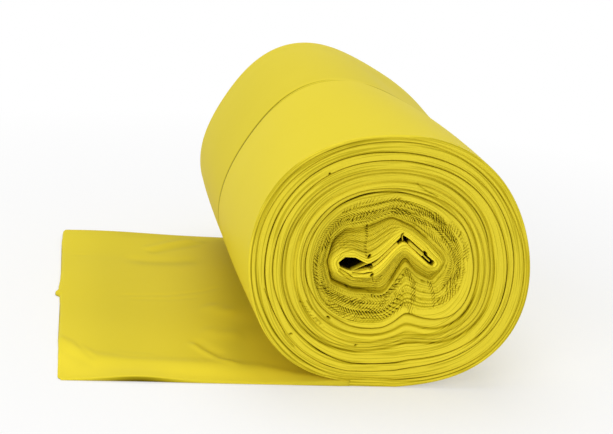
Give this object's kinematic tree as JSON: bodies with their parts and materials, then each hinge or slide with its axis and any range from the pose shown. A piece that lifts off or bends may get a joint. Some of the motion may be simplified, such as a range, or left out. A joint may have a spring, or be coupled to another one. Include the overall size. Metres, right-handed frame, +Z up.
{
  "type": "bin bag roll",
  "caption": "Coreless roll of folded film sacks with a collapsed centre, a fold line round its middle and a loose end lying flat on the floor.",
  "frame": {"origin": "on the floor, at the middle of the flat spot that the roll rests on, halfway along the roll", "axes": "+Z up, +Y along the roll's axis from the end seen first to the far end, -X the way the loose end runs out"},
  "size_m": [0.2338, 0.229, 0.1331],
  "materials": {
    "film": "satin"
  },
  "bodies": {
    "root": {"bag_roll": "film"}
  },
  "joints": []
}
